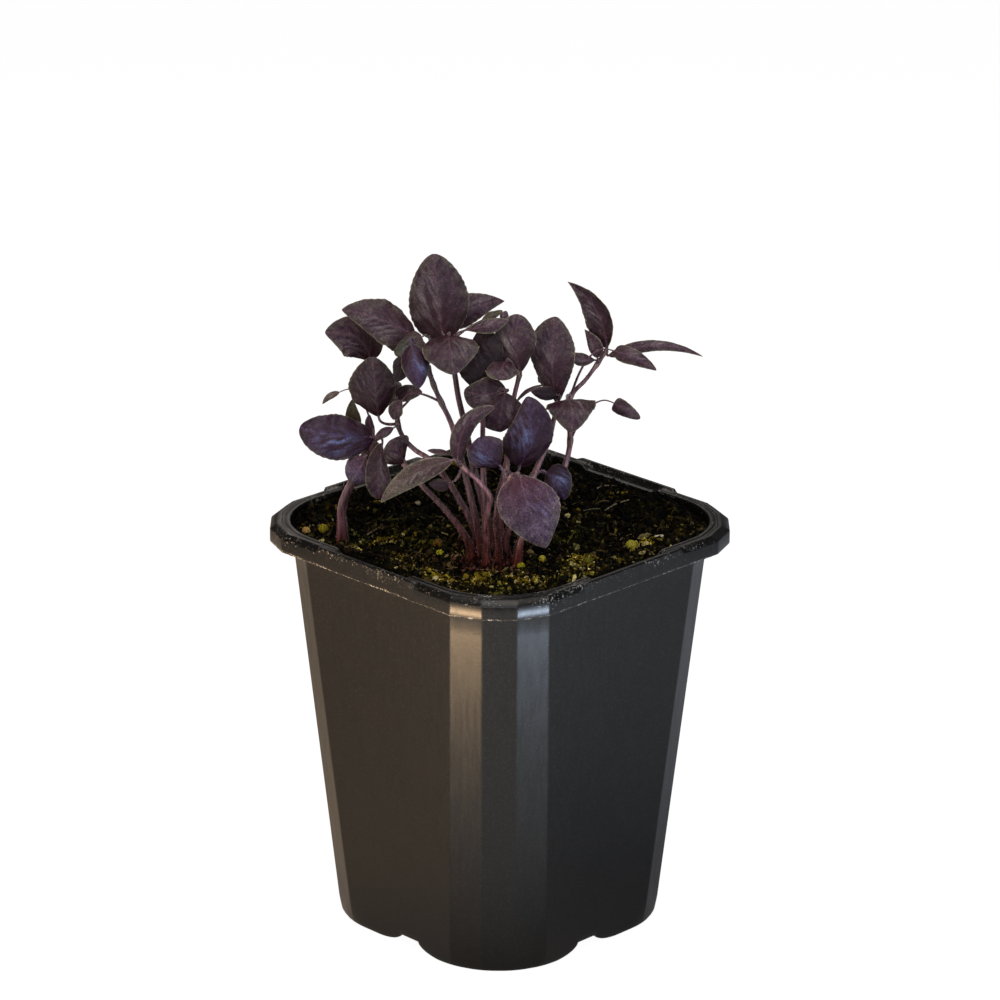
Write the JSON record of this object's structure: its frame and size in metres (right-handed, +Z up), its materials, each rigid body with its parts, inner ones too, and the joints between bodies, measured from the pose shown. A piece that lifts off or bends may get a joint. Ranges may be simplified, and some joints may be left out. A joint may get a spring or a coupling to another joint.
{
  "type": "potted basil plant",
  "caption": "Young leafy herb with purple leaves on slender stems, growing in potting soil in a square tapered plastic nursery pot that stands on four corner feet.",
  "frame": {"origin": "centre of the pot's bottom, on the plane its four feet stand on", "axes": "+Z up; +X and +Y square to two neighbouring sides of the pot; the plant faces the corner between -X and -Y"},
  "size_m": [0.1, 0.1, 0.1874],
  "materials": {
    "pot_plastic": "black moulded polypropylene with a satin gloss",
    "soil": null,
    "leaf": null
  },
  "bodies": {
    "root": {"pot": "pot_plastic", "potting_soil": "soil", "stem_far_left": "leaf", "stem_low_left": "leaf", "stem_outer_left": "leaf", "stem_upper_left": "leaf", "stem_crown_left": "leaf", "stem_crown": "leaf", "stem_middle": "leaf", "stem_centre_right": "leaf", "stem_pale": "leaf", "stem_right": "leaf", "stem_far_right": "leaf"}
  },
  "joints": []
}
